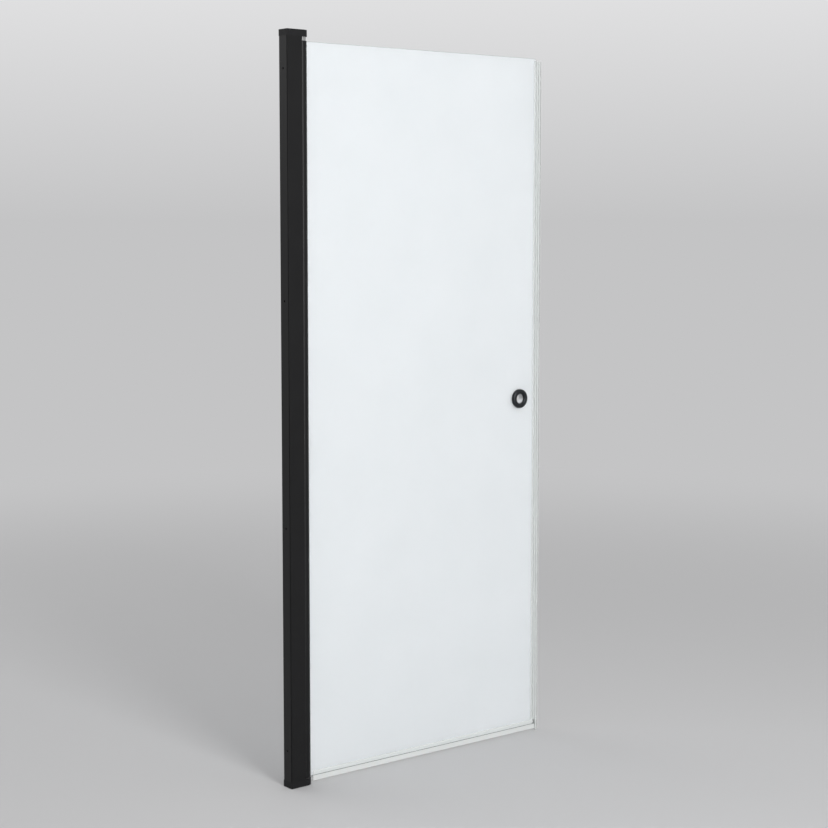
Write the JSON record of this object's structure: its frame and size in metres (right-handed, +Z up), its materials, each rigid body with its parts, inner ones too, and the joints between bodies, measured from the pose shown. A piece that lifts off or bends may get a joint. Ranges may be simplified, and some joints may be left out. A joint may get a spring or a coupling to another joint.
{
  "type": "shower door",
  "caption": "Frosted glass pivot door for a shower niche, with a black wall jamb, a round turning stile on a rising hinge, a finger-hole pull and magnetic strike seals.",
  "frame": {"origin": "middle of the opening between the two walls, in the plane of the glass, at floor level", "axes": "+X from the hinge wall to the strike wall, +Y from the room into the shower, +Z up"},
  "size_m": [0.9, 0.038, 2],
  "materials": {
    "channel_black": "matt black powder coat on an aluminium extrusion",
    "jamb_black": "matt black powder coat on an aluminium extrusion",
    "stile_black": "matt black powder coat on an aluminium extrusion",
    "block_black": "matt black moulded nylon",
    "cap_black": "matt black moulded nylon",
    "screw_black": "black passivated stainless steel",
    "seal_black": "matt black rubber",
    "gasket_black": "matt black rubber",
    "bearing_grey": "light grey acetal",
    "spindle_steel": "turned stainless steel",
    "sleeve_steel": "turned stainless steel",
    "grub_steel": "stainless steel",
    "frosted_glass": "acid-etched toughened glass",
    "seal_clear": "clear soft PVC",
    "strike_clear": "clear PVC",
    "plug_clear": "clear PVC",
    "pad_clear": "clear soft PVC",
    "magnet_grey": "magnetic rubber strip, light grey",
    "tape_white": "white foam tape",
    "knob_black": "satin black anodised aluminium"
  },
  "bodies": {
    "frame": {"wall_channel": "channel_black", "hinge_jamb": "jamb_black", "jamb_seal_front": "seal_black", "jamb_seal_back": "seal_black", "jamb_fixing_screws": "screw_black", "top_bearing_block": "block_black", "top_block_screws": "screw_black", "bottom_bearing_block": "block_black", "bottom_block_screws": "screw_black", "bottom_spindle": "spindle_steel", "lower_lift_cam": "bearing_grey", "strike_profile": "strike_clear", "strike_magnet": "magnet_grey", "strike_tape": "tape_white", "strike_end_plugs": "plug_clear"},
    "lift_bush": {"top_pivot_bush": "bearing_grey"},
    "door": {"pivot_stile": "stile_black", "stile_end_cap": "cap_black", "upper_lift_cam": "bearing_grey", "glazing_gasket": "gasket_black", "glass_panel": "frosted_glass", "closing_seal": "seal_clear", "door_magnet": "magnet_grey", "drip_seal": "seal_clear", "knob_front_ring": "knob_black", "knob_back_ring": "knob_black", "knob_sleeve": "sleeve_steel", "knob_gasket_front": "pad_clear", "knob_gasket_back": "pad_clear", "knob_set_screw": "grub_steel"}
  },
  "joints": [
    {"name": "door_lift", "type": "slide", "parent": "frame", "child": "lift_bush", "axis": [0, 0, 1], "range_m": [0, 0.006]},
    {"name": "door_swing", "type": "hinge", "parent": "lift_bush", "child": "door", "pos_m": [-0.3935, 0, 0.0195], "axis": [0, 0, -1], "range_deg": [0, 100]}
  ],
  "couplings": [
    {"joint": "door_lift", "follows": "door_swing", "m_per_rad": 0.0034377}
  ]
}
